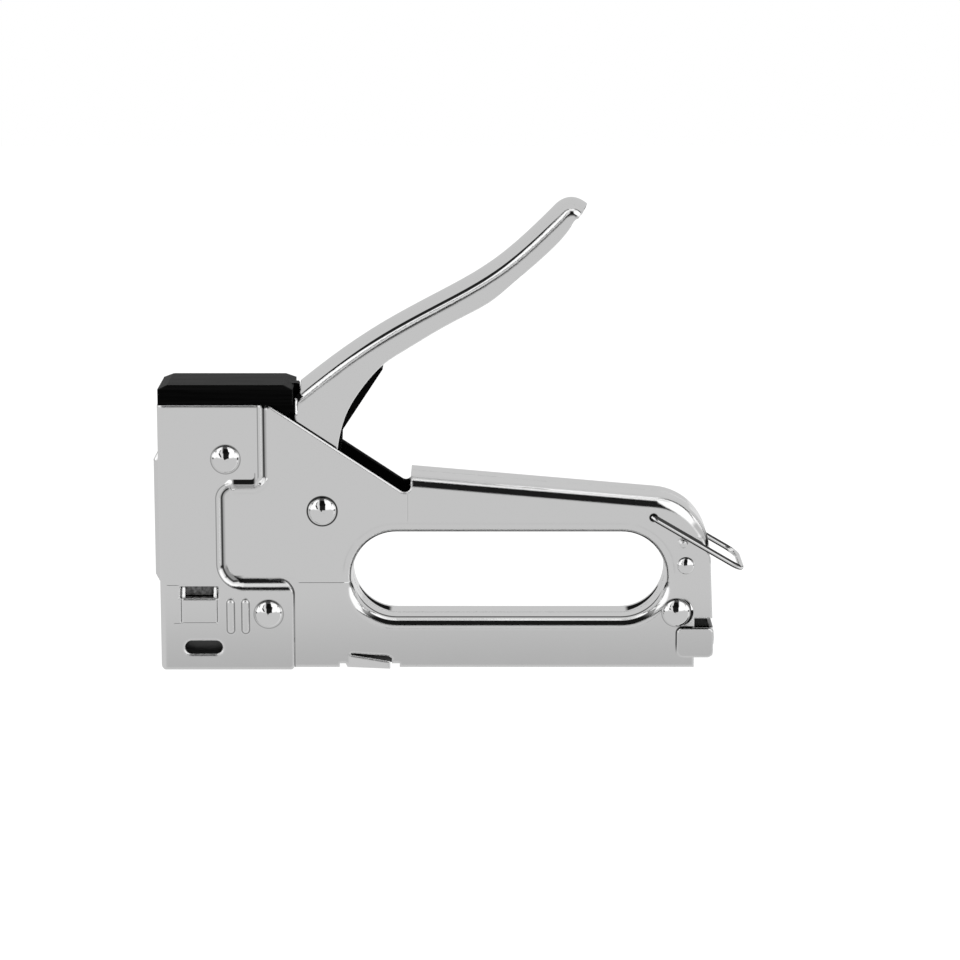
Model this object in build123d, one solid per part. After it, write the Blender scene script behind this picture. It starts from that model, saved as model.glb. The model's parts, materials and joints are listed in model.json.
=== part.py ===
from build123d import *
import math
import os

os.makedirs("parts", exist_ok=True)

# Frame: X runs from the nose to the rear, Z is up, Y=0 is the plane where the shells meet.
# The origin is at the front of the nose, on the plane the nose rests on. Millimetres.

# Driving sizes of the two shells
sheet = 1.0
body_length = 160.2
body_half = 10.0
nose_half = 11.8
nose_length = 38.6
nose_height = 78.0
seam_gap = 0.05
belly_z = 0.3
grip_start_x = 72.7
grip_top_z = 56.93
grip_fall = 0.0866
slant_top_inset = 6.3
slant_top_drop = 0.5
slant_top_run = 0.4
slant_foot_z = 50.7
throat_radius = 1.8
rear_corner_inset = 1.5
rear_corner_radius = 17.0
rear_cut_inset = 5.25
rear_cut_z = 14.9
plain_edge_z = 31.0
plain_edge_rise = 8.0
fold_radius = 3.2
hole_fold_radius = 2.6
front_fold_radius = 1.4
nose_toe_radius = 1.5
nose_heel_radius = 0.9
flange_gap_half = 4.0

# Raised nose: where its slope meets the flat side
foot_upper_inset = 7.4
foot_step_z = 53.0
foot_waist_x = 18.9
foot_lower_z = 26.0
foot_lower_radius = 5.5
foot_waist_radius = 2.4
foot_upper_radius = 4.4
foot_overlap = 0.5
slope_angle = 45.0
edge_bend_radius = 1.2
foot_bend_radius = 2.0
nose_corner_radius = 4.5

# Finger hole
hole_front_x = 55.5
hole_rear_inset = 13.5
hole_low_z = 14.3
hole_high_z = 40.2

# Pressed details of each shell
lance_x0 = 6.0
lance_x1 = 16.6
lance_low_z = 14.1
lance_fold_z = 21.2
lance_high_z = 24.85
lance_slit = 0.2
lance_lip_radius = 0.45
lance_bevel = 0.6
lance_shelf_half = 6.0
window_x0 = 7.0
window_x1 = 17.9
window_low_z = 4.65
window_high_z = 8.6
window_round = 0.4
rib_xs = (20.4, 24.7)
rib_width = 2.0
rib_low_z = 10.9
rib_high_z = 20.85
rib_rise = 0.5
rib_round = 0.45
dimple_radius = 1.6
dimple_depth = 0.4
dimple_inset = 0.7
tab_hinge_x = 54.2
tab_length = 12.4
tab_turn = 5.0
tab_front_z = 3.85
tab_rear_z = 2.2
tab_dip = 0.25
tab_round = 0.9
tab_root = 0.6
tab_gap_front_z = 4.45
tab_gap_rear_z = 3.65
tab_gap_end_z = 3.0
tab_gap_end = 0.4
tab_relief_front = 2.4
tab_relief_rear = 2.7
tab_relief_rise = 1.1
crescent_shift = 0.9
crescent_radius = 4.05
crescent_inner = 4.2
bail_stop_inset = 8.7
bail_stop_z = 37.2
bail_stop_radius = 1.2
bail_stop_rise = 1.3

# Rivets
upper_rivet_x = 19.55
upper_rivet_drop = 15.7
pivot_at = (47.1, 46.7)
lower_rivet_inset = 7.2
low_rivet_z = 16.6
rear_large_inset = 10.5
rear_small_inset = 7.9
rear_small_z = 30.5
head_radius = 4.15
head_rim = 0.2
head_crown = 8.0
head_flat_turn = 2.0
head_crown_turn = 20.0
head_edge_turn = 75.0
shank_radius = 2.3
small_head_radius = 2.6
small_head_rim = 0.15
small_head_crown = 5.0
small_shank_radius = 1.5
rivet_fit = 0.05
spacer_wall = 0.8
running_fit = 0.05
press_fit = 0.02

# Front plate
plate_half = 7.4
plate_gap = 0.05
plate_top_gap = 0.1
plate_rib_half = 3.2
plate_rib_front_x = -2.05
plate_rib_low_z = 20.5
plate_rib_top_drop = 11.5
plate_rib_ramp = 6.0
plate_rib_round = 1.2
plate_rib_wall = 2.0
guide_gap = 0.15

# Top cap
cap_front_x = 0.25
cap_overhang = 0.4
cap_side_inset = 0.2
cap_rise = 5.7
cap_bevel_height = 1.2
cap_side_bevel = 1.4
cap_end_bevel = 2.7
cap_corner = 0.8
cap_tongue_length = 1.5
cap_tongue_half = 2.2
cap_tongue_drop = 0.8
cap_tongue_round = 0.6
cap_seat_gap = 0.05
plug_side_gap = 0.3
plug_rear_inset = 1.3
plug_skirt_length = 7.0
plug_skirt_drop = 8.0
plug_root = 1.0

# Lever, as places along its crown and along its lower edge
lever_side_gap = 0.8
lever_sheet = 1.2
lever_cap_gap = 0.4
crown_tongue_gap = 0.4
crown_step_z = 79.6
lever_boss_radius = 6.4
crown_drop = 3.0
lever_fold_radius = 2.4
arch_depth = 9.0
hood_depth = 4.6
cheek_drop = 6.0
crown_points = [
    (33.5, 77.4),
    (40.9, 83.4),
    (49.9, 90.4),
    (63.8, 99.8),
    (80.6, 109.1),
    (96.4, 118.4),
    (107.3, 127.6),
    (113.9, 134.1),
]
hood_middle = (118.8, 136.5)
hood_end = (123.3, 134.7)
hood_end_run = (0.78, 0, -0.62)
hood_wall = [(114.2, 128.9), (116.7, 131.6), (118.8, 132.8), (120.8, 131.8)]
lower_points = [
    (119.5, 130.6),
    (116.6, 126.3),
    (112.3, 121.8),
    (107.2, 117.2),
    (101.8, 112.6),
    (96.4, 108.0),
    (88.4, 103.4),
    (79.8, 98.7),
    (72.3, 94.1),
    (64.9, 89.2),
    (59.7, 83.6),
    (54.3, 75.0),
    (52.4, 69.0),
    (51.6, 64.4),
]

# Lever core, toe and return spring
bush_radius = 3.5
core_gap = 0.1
core_sheet = 1.3
core_boss_radius = 6.0
core_boss_trim = 1.0
core_web_top = (64.7, 87.6)
core_web_low = (52.7, 69.4)
core_neck = (0.4, 9.0)
core_shoulder = (5.5, 3.6)
core_front_inset = 1.4
core_front_z = 77.0
toe_arm = 24.0
toe_rest_deg = 30.0
toe_pin_radius = 2.5
toe_boss_radius = 3.4
toe_root_half = 5.0
toe_end_half = 3.2
toe_gap = 0.3
return_wire = 1.0
return_length = 6.4
return_turns = 3
return_gap = 0.3
return_legs = (14.0, 15.0)

# Driver
blade_front_x = 2.15
blade_thick = 1.2
blade_half = 5.6
blade_low_z = 0.3
blade_top_drop = 0.5
carriage_rear_x = 15.8
carriage_half = 6.2
carriage_low_z = 30.0
lift_lug_rear_x = 28.5
lift_lug_half = 4.9
lift_lug_thick = 3.1
lift_lug_root = 1.0
blade_pin_radius = 1.2
blade_pin_depth = 6.0
blade_pin_rise = 5.0
blade_pin_slack = 0.1
spring_axis_x = 9.6
spring_slack = 0.05
main_coil_radius = 4.7
main_wire = 1.6
main_turns = 7.5
guide_radius = 2.6
guide_length = 13.9
guide_bevel = 0.6
seat_drop = 4.0
seat_thick = 2.0
seat_reach = 6.8
seat_side_gap = 0.2
seat_front_gap = 0.3
bumper_overlap = 1.3
bumper_gap = 0.3
bumper_seat_gap = 0.05
bumper_corner = 1.0

# Magazine
channel_half = 6.9
channel_sheet = 0.8
channel_top_z = 13.2
channel_low_z = 1.0
channel_front_x = 3.8
channel_rear_gap = 0.1
channel_ear_half = 4.5
channel_ear_root = 2.0
staple_gap = 1.2
staple_room = 1.0
rail_rise = 1.2
rail_end_gap = 0.1
rail_slot_half = 1.3
rail_slot_front = 1.3
rod_radius = 1.25
rod_front = 0.4
rod_head_radius = 2.2
rod_head_length = 0.8
pusher_front_x = 4.2
pusher_length = 10.0
pusher_wall_gap = 0.2
pusher_rise = 0.8
pusher_travel = 95.0
lug_front = 2.0
lug_length = 3.0
lug_half = 1.1
lug_wide = 2.6
slide_gap = 0.1
pusher_coil_radius = 2.5
pusher_wire = 0.6
pusher_turns = 45
end_cap_proud = 0.2
end_cap_length = 10.5
end_cap_low_z = 3.5
end_cap_high_z = 12.2
end_cap_corner = 1.7
end_cap_gap = 0.25
end_cap_root = 0.1

# Bail
bail_pivot_inset = 17.4
bail_pivot_z = 44.8
bail_wire_radius = 0.8
bail_side_gap = 0.2
bail_end_depth = 0.8
bail_reach = 29.8
bail_rest_deg = -30.5
bail_hook_radius = 1.2
bail_bend_radius = 4.0

# Places worked out from the driving sizes
rear_corner_x = body_length - rear_corner_inset
rear_corner_z = grip_top_z - grip_fall * (rear_corner_x - grip_start_x)
rear_cut_x = body_length - rear_cut_inset
slant_top = (nose_length - slant_top_inset, nose_height - slant_top_drop)
foot_upper_x = nose_length - foot_upper_inset
hole_rear_x = body_length - hole_rear_inset
upper_rivet_at = (upper_rivet_x, nose_height - upper_rivet_drop)
lower_rivet_at = (nose_length - lower_rivet_inset, low_rivet_z)
rear_large_at = (body_length - rear_large_inset, low_rivet_z)
rear_small_at = (body_length - rear_small_inset, rear_small_z)
bail_pivot_at = (body_length - bail_pivot_inset, bail_pivot_z)
bail_stop_at = (body_length - bail_stop_inset, bail_stop_z)
plate_front_x = sheet + plate_gap
plate_rear_x = plate_front_x + sheet
plate_top_z = nose_height - plate_top_gap
cap_rear_x = nose_length + cap_overhang
seat_low_z = nose_height - seat_drop
seat_top_z = seat_low_z + seat_thick
seat_front_x = plate_rear_x + blade_thick + seat_front_gap
lever_front_x = cap_rear_x + lever_cap_gap
cap_tongue_x = cap_rear_x + cap_tongue_length
crown_front_x = cap_tongue_x + crown_tongue_gap
lever_half = body_half - sheet - lever_side_gap
lever_inner = lever_half - lever_sheet
core_half = lever_inner - core_gap
bore = shank_radius + rivet_fit
small_bore = small_shank_radius + rivet_fit
spacer_radius = bore + spacer_wall
rail_half = channel_half - channel_sheet - staple_gap
rail_top_z = channel_top_z - channel_sheet - staple_room
rail_low_z = channel_low_z + rail_rise
rod_z = (rail_top_z + rail_low_z) / 2
pusher_half = channel_half - channel_sheet - pusher_wall_gap
pusher_top_z = channel_top_z - channel_sheet - pusher_wall_gap
pusher_low_z = rail_low_z + pusher_rise
end_cap_rear_x = body_length + end_cap_proud
end_cap_front_x = end_cap_rear_x - end_cap_length
cap_plate_x = end_cap_rear_x - sheet

past = 3.0
far_past = 4 * past
far_above = 2 * nose_height
near = 0.01
sides = (-1, 1)


def outline(points):
    return make_face(Polyline(*points, close=True))


def prism(face, y_start, y_end, taper=0.0):
    """Solid from a flat X and Z outline, from y_start down to y_end."""
    placed = Plane.XZ.offset(-y_start) * face
    return extrude(placed, amount=y_start - y_end, dir=(0, -1, 0), taper=taper)


def side_prisms(face, inner, outer):
    """The same outline on both sides, between two distances from the middle plane."""
    pair = []
    for side in sides:
        low, high = sorted((side * inner, side * outer))
        pair.append(prism(face, high, low))
    return pair


def block(x0, x1, y0, y1, z0, z1):
    middle = Pos((x0 + x1) / 2, (y0 + y1) / 2, (z0 + z1) / 2)
    return middle * Box(x1 - x0, y1 - y0, z1 - z0)


def corner(face, x, z):
    return face.vertices().sort_by_distance((x, z, 0))[0]


def disc(at, radius):
    return Pos(at[0], at[1]) * Circle(radius)


def cross_pin(at, radius, half):
    """Round bar along Y through one X and Z place."""
    return prism(disc(at, radius), half, -half)


def long_pin(x0, x1, y, z, radius):
    """Round bar along X."""
    return Pos((x0 + x1) / 2, y, z) * Rot(0, 90, 0) * Cylinder(radius, x1 - x0)


def obround(x0, x1, z0, z1):
    """Rectangle with fully rounded short ends."""
    place = Pos((x0 + x1) / 2, (z0 + z1) / 2)
    if x1 - x0 > z1 - z0:
        return place * SlotOverall(x1 - x0, z1 - z0)
    return place * SlotOverall(z1 - z0, x1 - x0, rotation=90)


def level_edges(solid, y):
    """Edges that lie wholly at one Y."""
    return solid.edges().filter_by_position(Axis.Y, y - near, y + near)


def edges_within(edges, x0, x1, z0, z1):
    """Edges whose middle lies in a rectangle of X and Z."""
    picked = []
    for edge in edges:
        middle = edge.center()
        if x0 < middle.X < x1 and z0 < middle.Z < z1:
            picked.append(edge)
    return picked


def coil(radius, wire, length, turns, legs=None):
    """Round-wire helix standing on Z=0, made as one tube, with straight tangent legs if asked."""
    rise = length - wire
    path = Helix(rise / turns, rise, radius)
    print("coil gap", round(rise / turns - wire, 2))
    if legs:
        first = Line(path @ 0 - (path % 0) * legs[0], path @ 0)
        last = Line(path @ 1, path @ 1 + (path % 1) * legs[1])
        path = Wire([first, path, last])
    start = Plane(path @ 0, z_dir=path % 0)
    return Pos(0, 0, wire / 2) * sweep(start * Circle(wire / 2), path=path)


def rivet(at, half, radius, rim, crown, shank):
    """Shank along Y with an oval dome head, straight at its rim, on both outer faces."""
    flat = math.radians(head_flat_turn)
    turn = math.radians(head_crown_turn)
    edge = math.radians(head_edge_turn)
    bend = (radius - crown * math.sin(turn)) / (math.sin(edge) - math.sin(turn))
    rim_y = half + rim
    top_y = rim_y + crown * (1 - math.cos(turn)) + bend * (math.cos(turn) - math.cos(edge))

    def on_crown(angle):
        return (crown * math.sin(angle), top_y - crown * (1 - math.cos(angle)))

    def on_edge(angle):
        out = radius - bend * (math.sin(edge) - math.sin(angle))
        return (out, rim_y + bend * (math.cos(angle) - math.cos(edge)))

    flat_x, flat_y = on_crown(flat)
    crown_arc = [(flat_x, flat_y), on_crown((flat + turn) / 2), on_crown(turn)]
    edge_arc = [on_crown(turn), on_edge((turn + edge) / 2), (radius, rim_y)]
    lines = [Polyline((flat_x, -flat_y), (0, -flat_y), (0, flat_y), (flat_x, flat_y))]
    for arc in (crown_arc, edge_arc):
        lines.append(ThreePointArc(*arc))
        lines.append(ThreePointArc(*[(x, -y) for x, y in arc]))
    lines.append(
        Polyline(
            (radius, rim_y), (radius, half), (shank, half), (shank, -half), (radius, -half), (radius, -rim_y)
        )
    )
    return Pos(at[0], 0, at[1]) * revolve(make_face(lines), Axis.Y)


def tube(at, outer, inner, half):
    return cross_pin(at, outer, half) - cross_pin(at, inner, half + past)


def save(solid, name):
    solid.label = name
    export_step(solid, f"parts/{name}.step")


# Shells
side_points = [
    (0, 0),
    (nose_length, 0),
    (nose_length, belly_z),
    (rear_cut_x, belly_z),
    (rear_cut_x, rear_cut_z),
    (body_length, rear_cut_z),
    (rear_corner_x, rear_corner_z),
    (grip_start_x, grip_top_z),
    (grip_start_x, slant_foot_z),
    slant_top,
    (slant_top[0] - slant_top_run, nose_height),
    (0, nose_height),
]
side_face = outline(side_points)
side_face = fillet(corner(side_face, rear_corner_x, rear_corner_z), rear_corner_radius)
side_face = fillet(corner(side_face, grip_start_x, slant_foot_z), throat_radius)


def raised_nose(inset, bend):
    """Nose block whose outer face stands proud of the side and slopes back down to it."""
    creep = inset * math.tan(math.radians(slope_angle / 2))
    lower = (foot_waist_x - creep, foot_lower_z - creep)
    waist = (foot_waist_x - creep, foot_step_z + creep)
    upper = (foot_upper_x - creep, foot_step_z + creep)
    wide = 2 * nose_length
    tall = nose_height + far_past
    foot = outline(
        [
            (-far_past, -far_past),
            (wide, -far_past),
            (wide, lower[1]),
            lower,
            waist,
            upper,
            (upper[0], tall),
            (-far_past, tall),
        ]
    )
    foot = fillet(corner(foot, *lower), foot_lower_radius)
    foot = fillet(corner(foot, *waist), foot_waist_radius)
    foot = fillet(corner(foot, *upper), foot_upper_radius)
    side_y = inset - body_half
    face_y = inset - nose_half
    ground = block(-far_past - past, wide + past, side_y, 0, -far_past - past, tall + past)
    form = ground + prism(foot, side_y, face_y, taper=slope_angle)
    if bend:
        for y, radius in ((face_y, edge_bend_radius), (side_y, foot_bend_radius)):
            crossing = edges_within(
                level_edges(form, y), 0, nose_length + far_past, lance_low_z, nose_height
            )
            form = fillet(crossing, radius)
    return form


def nose_trim(inset, top_z, low_z):
    far_x = nose_length - inset
    shelf_z = foot_lower_z + foot_overlap - inset
    neck_x = foot_upper_x + foot_overlap
    face = outline(
        [
            (inset, low_z),
            (far_x, low_z),
            (far_x, shelf_z),
            (neck_x, shelf_z),
            (neck_x, top_z),
            (inset, top_z),
        ]
    )
    face = fillet(corner(face, far_x, shelf_z), nose_corner_radius - inset)
    return prism(face, 0, -2 * nose_half)


def shell_outside():
    slab = prism(side_face, 0, -body_half)
    side_rim = level_edges(slab, -body_half)
    fold = edges_within(side_rim, grip_start_x + 1, body_length + past, rear_cut_z + 1, nose_height)
    folded = fillet(fold, fold_radius)
    taper_z = plain_edge_z + plain_edge_rise
    rear_edge = outline(
        [
            (rear_cut_x - past, rear_cut_z),
            (body_length, rear_cut_z),
            (body_length, plain_edge_z),
            (body_length - fold_radius, taper_z),
            (rear_cut_x - past, taper_z),
        ]
    )
    folded += prism(rear_edge, sheet - body_half, -body_half) & slab
    nose = raised_nose(0, True) & nose_trim(0, nose_height, 0)
    form = folded + nose
    front = edges_within(level_edges(form, -nose_half), -near, near, 0, nose_height)
    return fillet(front, front_fold_radius)


def hole_rim(form, y, around):
    """Edges at one Y that go round the finger hole."""
    return edges_within(
        level_edges(form, y),
        hole_front_x - around,
        hole_rear_x + around,
        hole_low_z - around,
        hole_high_z + around,
    )


def shell_inside():
    rear_x = rear_corner_x - sheet
    rear_z = rear_corner_z - sheet
    face = outline(
        [
            (sheet, -past),
            (body_length - sheet, -past),
            (body_length - sheet, rear_cut_z),
            (rear_x, rear_z),
            (grip_start_x, grip_top_z - sheet),
            (grip_start_x, nose_height + past),
            (sheet, nose_height + past),
        ]
    )
    face = fillet(corner(face, rear_x, rear_z), rear_corner_radius - sheet)
    wall_y = sheet - body_half
    hollow = prism(face, past, wall_y)
    fold = edges_within(
        level_edges(hollow, wall_y), grip_start_x + 1, body_length, rear_cut_z + 1, nose_height
    )
    hollow = fillet(fold, fold_radius - sheet)
    ring = obround(
        hole_front_x - sheet, hole_rear_x + sheet, hole_low_z - sheet, hole_high_z + sheet
    )
    hollow -= prism(ring, 2 * past, -nose_half)
    hollow = fillet(hole_rim(hollow, wall_y, 2 * sheet), hole_fold_radius - sheet)
    nose = raised_nose(sheet, False) & nose_trim(sheet, nose_height + past, -past)
    return hollow + nose


def finger_hole(form):
    hole = obround(hole_front_x, hole_rear_x, hole_low_z, hole_high_z)
    form -= prism(hole, past, -2 * nose_half)
    return fillet(hole_rim(form, -body_half, sheet), hole_fold_radius)


def lanced_window(shell):
    """Square window whose flap is folded inwards at the top to make a shelf."""
    shell -= block(lance_x0, lance_x1, -2 * nose_half, -body_half, lance_fold_z, lance_high_z)
    band_z = (lance_fold_z + lance_high_z) / 2
    bevel_side = math.sqrt(2) * lance_bevel
    for x in (lance_x0, lance_x1):
        bar = Rot(0, 0, 45) * Box(bevel_side, bevel_side, lance_high_z - lance_fold_z)
        shell -= Pos(x, -nose_half, band_z) * bar
    for x in (lance_x0, lance_x1 - lance_slit):
        shell -= block(x, x + lance_slit, -2 * nose_half, -body_half, lance_low_z, lance_high_z)
    shelf_y = sheet / 2 - nose_half
    shelf = block(
        lance_x0 + lance_slit,
        lance_x1 - lance_slit,
        shelf_y,
        -lance_shelf_half,
        lance_fold_z - sheet,
        lance_fold_z,
    )
    lip = level_edges(shelf, shelf_y).filter_by(Axis.X).sort_by(Axis.Z)[-1]
    return shell + fillet(lip, lance_lip_radius)


def lower_tab(shell):
    """Tab cut free along its top and rear end and turned a little outwards."""
    far_x = tab_hinge_x + tab_length
    relief_z = belly_z + tab_relief_rise
    gap = outline(
        [
            (tab_hinge_x - tab_relief_front, -past),
            (far_x + tab_relief_rear, -past),
            (far_x + tab_relief_rear, relief_z),
            (far_x + tab_gap_end, relief_z),
            (far_x + tab_gap_end, tab_gap_end_z),
            (far_x - tab_round, tab_gap_rear_z),
            (tab_hinge_x + tab_round, tab_gap_front_z),
            (tab_hinge_x + tab_gap_end, relief_z),
            (tab_hinge_x - tab_relief_front, relief_z),
        ]
    )
    shell -= prism(gap, 2 * sheet - body_half, -body_half - past)
    leaf_face = outline(
        [
            (-tab_root, relief_z),
            (0, belly_z),
            (tab_length, belly_z - tab_dip),
            (tab_length, tab_rear_z),
            (tab_round, tab_front_z),
            (-tab_root, tab_front_z),
        ]
    )
    leaf = Rot(0, 0, -tab_turn) * prism(leaf_face, 0, -sheet)
    return shell + Pos(tab_hinge_x, sheet - body_half, 0) * leaf


def rounded_toes(shell):
    """The two lower corners of the nose, rounded."""
    toe = outline(
        [
            (-past, -past),
            (nose_toe_radius, -past),
            (nose_toe_radius, nose_toe_radius),
            (-past, nose_toe_radius),
        ]
    )
    toe -= disc((nose_toe_radius, nose_toe_radius), nose_toe_radius)
    heel_x = nose_length - nose_heel_radius
    heel = outline(
        [
            (heel_x, -past),
            (nose_length, -past),
            (nose_length, nose_heel_radius),
            (heel_x, nose_heel_radius),
        ]
    )
    heel -= disc((heel_x, nose_heel_radius), nose_heel_radius)
    for face in (toe, heel):
        shell -= prism(face, past, -2 * nose_half)
    return shell


def half_shell():
    shell = rounded_toes(finger_hole(shell_outside()) - shell_inside())
    front_flange = sheet + press_fit
    shell -= block(-past, front_flange, -flange_gap_half, past, -past, nose_height + past)
    shell -= block(-past, body_length + past, -seam_gap, past, -past, nose_height + past)
    for at in (upper_rivet_at, pivot_at, lower_rivet_at, rear_large_at):
        shell -= cross_pin(at, bore, 2 * nose_half)
    shell -= cross_pin(rear_small_at, small_bore, 2 * nose_half)
    shell -= cross_pin(bail_pivot_at, bail_wire_radius + running_fit, 2 * nose_half)
    shell = lanced_window(shell)
    slot = obround(window_x0, window_x1, window_low_z, window_high_z)
    shell -= prism(slot, -body_half, -2 * nose_half)
    slot_rim = edges_within(
        level_edges(shell, -nose_half),
        window_x0 - sheet,
        window_x1 + sheet,
        window_low_z - sheet,
        window_high_z + sheet,
    )
    shell = fillet(slot_rim, window_round)
    for x in rib_xs:
        rib = obround(x - rib_width / 2, x + rib_width / 2, rib_low_z, rib_high_z)
        bead = prism(rib, sheet / 2 - nose_half, -nose_half - rib_rise)
        shell += fillet(level_edges(bead, -nose_half - rib_rise), rib_round)
    dimple_y = dimple_depth - dimple_radius - body_half
    shell -= Pos(slant_top[0] - dimple_inset, dimple_y, nose_height) * Sphere(dimple_radius)
    shell = lower_tab(shell)
    moon = disc((rear_large_at[0] + crescent_shift, rear_large_at[1]), crescent_radius)
    moon -= disc(rear_large_at, crescent_inner)
    shell -= prism(moon, 2 * sheet - body_half, -body_half - past)
    stop_top_y = -body_half - bail_stop_rise
    stop = prism(disc(bail_stop_at, bail_stop_radius), sheet / 2 - body_half, stop_top_y)
    return shell + fillet(level_edges(stop, stop_top_y), bail_stop_radius / 2)


near_shell = half_shell()
save(near_shell, "left_shell")
save(mirror(near_shell, about=Plane.XZ), "right_shell")


# Front plate, with its stiffening rib and the two lips that guide the blade
def rib_outline(front_x, back_x, root_x, low_z, top_z):
    return outline(
        [
            (root_x, low_z),
            (back_x, low_z),
            (front_x, low_z + plate_rib_ramp),
            (front_x, top_z - plate_rib_ramp),
            (back_x, top_z),
            (root_x, top_z),
        ]
    )


plate_rib_top_z = nose_height - plate_rib_top_drop
plate = block(plate_front_x, plate_rear_x, -plate_half, plate_half, 0, plate_top_z)
rib_face = rib_outline(
    plate_rib_front_x, plate_front_x, plate_rear_x - sheet / 2, plate_rib_low_z, plate_rib_top_z
)
plate_rib = prism(rib_face, plate_rib_half, -plate_rib_half)
rib_corners = []
for side in sides:
    rim = level_edges(plate_rib, side * plate_rib_half)
    rib_corners += edges_within(rim, -past, plate_front_x - near, 0, nose_height)
plate += fillet(rib_corners, plate_rib_round)
hollow_face = rib_outline(
    plate_rib_front_x + sheet,
    plate_rear_x,
    plate_rear_x + past,
    plate_rib_low_z + plate_rib_wall,
    plate_rib_top_z - plate_rib_wall,
)
plate -= prism(hollow_face, plate_rib_half - sheet, sheet - plate_rib_half)
lip_face = outline(
    [
        (plate_rear_x - sheet / 2, 0),
        (plate_rear_x + blade_thick, 0),
        (plate_rear_x + blade_thick, plate_top_z),
        (plate_rear_x - sheet / 2, plate_top_z),
    ]
)
lip_inner = blade_half + guide_gap
for lip in side_prisms(lip_face, lip_inner, lip_inner + sheet):
    plate += lip
save(plate, "front_plate")

# Top cap, with a plug that fills the top of the nose
cap_half = nose_half - cap_side_inset
plug_half = body_half - sheet - plug_side_gap
plug_rear_x = cap_rear_x - plug_rear_inset
plug_root_z = nose_height + plug_root
cap_low_z = nose_height + cap_seat_gap
cap_top_z = nose_height + cap_rise
cap_edge_z = cap_top_z - cap_bevel_height


def cap_face(z, side_inset, end_inset, radius):
    """Rounded rectangle at one height, drawn in from the cap's sides and ends."""
    length = cap_rear_x - cap_front_x - 2 * end_inset
    place = Pos((cap_front_x + cap_rear_x) / 2, 0, z)
    return place * RectangleRounded(length, 2 * (cap_half - side_inset), radius)


cap = extrude(cap_face(cap_low_z, 0, 0, cap_corner), amount=cap_edge_z - cap_low_z)
cap += loft(
    [
        cap_face(cap_edge_z, 0, 0, cap_corner),
        cap_face(cap_top_z, cap_side_bevel, cap_end_bevel, cap_corner),
    ],
    ruled=True,
)
tongue = block(
    cap_rear_x - plug_root,
    cap_tongue_x,
    -cap_tongue_half,
    cap_tongue_half,
    cap_low_z,
    cap_top_z - cap_tongue_drop,
)
tongue_rim = tongue.faces().sort_by(Axis.X)[-1].edges()
cap += block(
    seat_front_x, plug_rear_x, -plug_half, plug_half, seat_top_z + cap_seat_gap, plug_root_z
)
cap += block(
    plug_rear_x - plug_skirt_length,
    plug_rear_x,
    -plug_half,
    plug_half,
    nose_height - plug_skirt_drop,
    plug_root_z,
)
cap += fillet(tongue_rim, cap_tongue_round)
save(cap, "top_cap")

# Rivets, spacers and pivot bush
big_rivets = [
    rivet(upper_rivet_at, nose_half, head_radius, head_rim, head_crown, shank_radius),
    rivet(lower_rivet_at, nose_half, head_radius, head_rim, head_crown, shank_radius),
    rivet(rear_large_at, body_half, head_radius, head_rim, head_crown, shank_radius),
]
save(Compound(children=big_rivets), "body_rivets")
pivot_rivet = rivet(pivot_at, body_half, head_radius, head_rim, head_crown, shank_radius)
save(pivot_rivet, "pivot_rivet")
small_rivet = rivet(
    rear_small_at,
    body_half,
    small_head_radius,
    small_head_rim,
    small_head_crown,
    small_shank_radius,
)
save(small_rivet, "rear_rivet")
nose_span = nose_half - sheet - rivet_fit
body_span = body_half - sheet - rivet_fit
spacers = [
    tube(upper_rivet_at, spacer_radius, bore, nose_span),
    tube(lower_rivet_at, spacer_radius, bore, nose_span),
    tube(rear_large_at, spacer_radius, bore, body_span),
]
save(Compound(children=spacers), "rivet_spacers")
save(tube(rear_small_at, small_bore + spacer_wall, small_bore, body_span), "rear_spacer")
save(tube(pivot_at, bush_radius, bore, body_span), "pivot_bush")

# Lever: one pressing, a crowned channel with a hood at its tip and two cheeks at its pivot
crown_path = Spline(*[(x, 0, z) for x, z in crown_points])
hood_path = Spline(
    *[(x, 0, z) for x, z in (crown_points[-1], hood_middle, hood_end)],
    tangents=[crown_path % 1, Vector(*hood_end_run)],
)
lower_curve = Spline(*lower_points)
lower_start = lower_points[-1]
lower_end = lower_points[0]


def arch(half, top, depth, radius):
    """Inverted channel outline with a crowned top."""
    shoulder = top - crown_drop
    crown = ThreePointArc((-half, shoulder), (0, top), (half, shoulder))
    walls = Polyline((half, shoulder), (half, -depth), (-half, -depth), (-half, shoulder))
    face = make_face([crown, walls])
    for x in (-half, half):
        face = fillet(corner(face, x, shoulder), radius)
    return face


def pressed_channel(path, depth):
    """Channel of one sheet swept along a path, square to it."""
    section = arch(lever_half, 0, depth, lever_fold_radius)
    section -= arch(lever_inner, -lever_sheet, depth + past, lever_fold_radius - lever_sheet)
    start = Plane(path @ 0, x_dir=(0, 1, 0), z_dir=path % 0)
    return sweep(start * section, path=path)


trim_line = Polyline(
    lower_start,
    (lever_front_x, lower_start[1]),
    (lever_front_x, crown_step_z),
    (crown_front_x, crown_step_z + crown_front_x - lever_front_x),
    (crown_front_x, far_above),
    (lower_end[0] + far_past, far_above),
    (lower_end[0] + far_past, lower_end[1] + far_past),
    lower_end,
)
trim_face = make_face([lower_curve, trim_line])
lever = pressed_channel(crown_path, arch_depth)
lever = lever & prism(trim_face, 2 * lever_half, -2 * lever_half)
lever += pressed_channel(hood_path, hood_depth)
cheek_top = [(x, z - cheek_drop) for x, z in crown_points[1:5]]
cheek_rear_x = cheek_top[-1][0]
cheek_line = Polyline(
    lower_start,
    (pivot_at[0] + lever_boss_radius, pivot_at[1] + past),
    (pivot_at[0] + lever_boss_radius, pivot_at[1]),
    (lever_front_x, pivot_at[1]),
    (lever_front_x, cheek_top[0][1]),
    *cheek_top[1:],
    (cheek_rear_x, far_above),
    (lower_end[0] + far_past, far_above),
    lower_end,
)
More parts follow.
